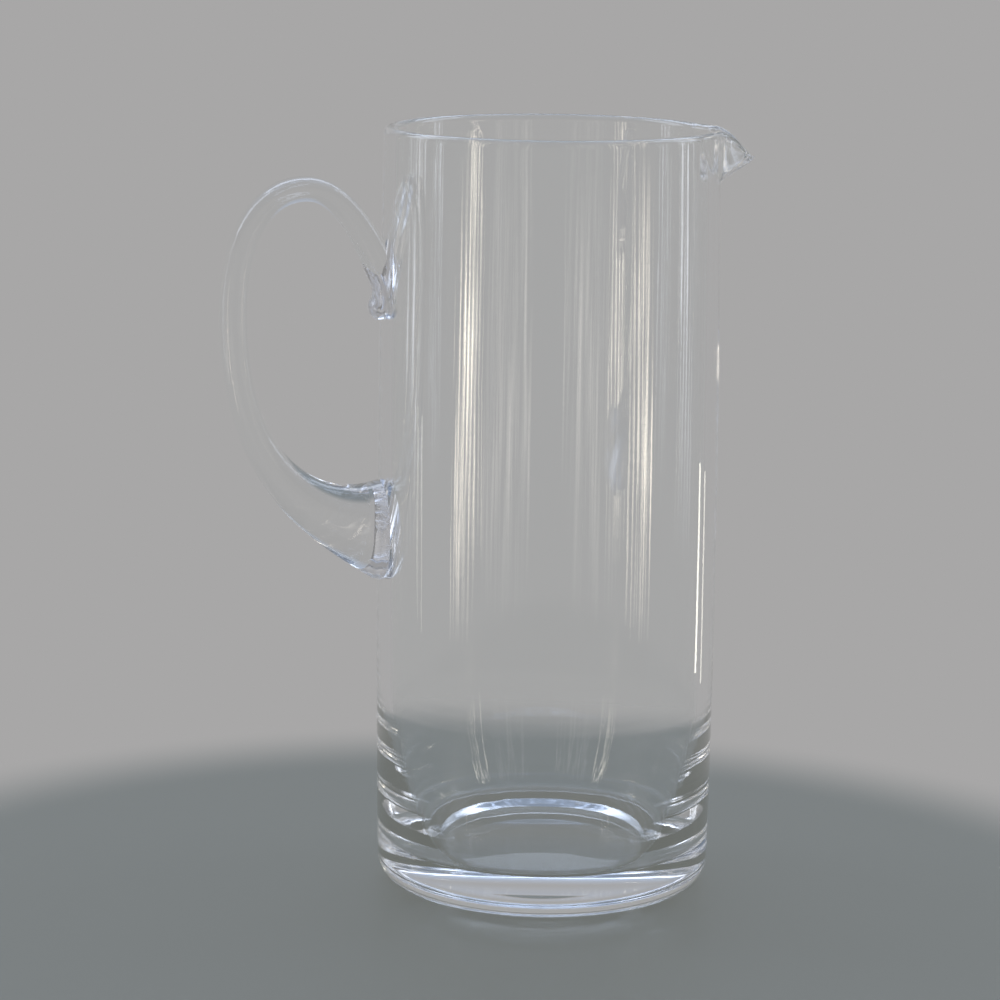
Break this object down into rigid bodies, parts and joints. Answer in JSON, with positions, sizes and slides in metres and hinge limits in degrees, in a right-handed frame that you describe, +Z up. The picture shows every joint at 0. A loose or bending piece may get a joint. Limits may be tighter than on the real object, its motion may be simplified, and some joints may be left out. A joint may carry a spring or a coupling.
{
  "type": "pitcher",
  "caption": "Tall clear glass pitcher with an almost straight wall, a heavy base, a pulled pouring spout and an applied handle with a curled tail, for serving water or juice.",
  "frame": {"origin": "On the body's axis, in the plane of the table that the foot ring stands on.", "axes": "+Z up along the body's axis, +X from the axis out through the middle of the spout, +Y by the right-hand rule. The handle is at the back, near -X, turned 10 degrees towards -Y."},
  "size_m": [0.1647, 0.1068, 0.24],
  "materials": {
    "clear_glass": "smooth fire-polished clear glass with a faint cool tint"
  },
  "bodies": {
    "root": {"body": "clear_glass", "handle": "clear_glass"}
  },
  "joints": []
}
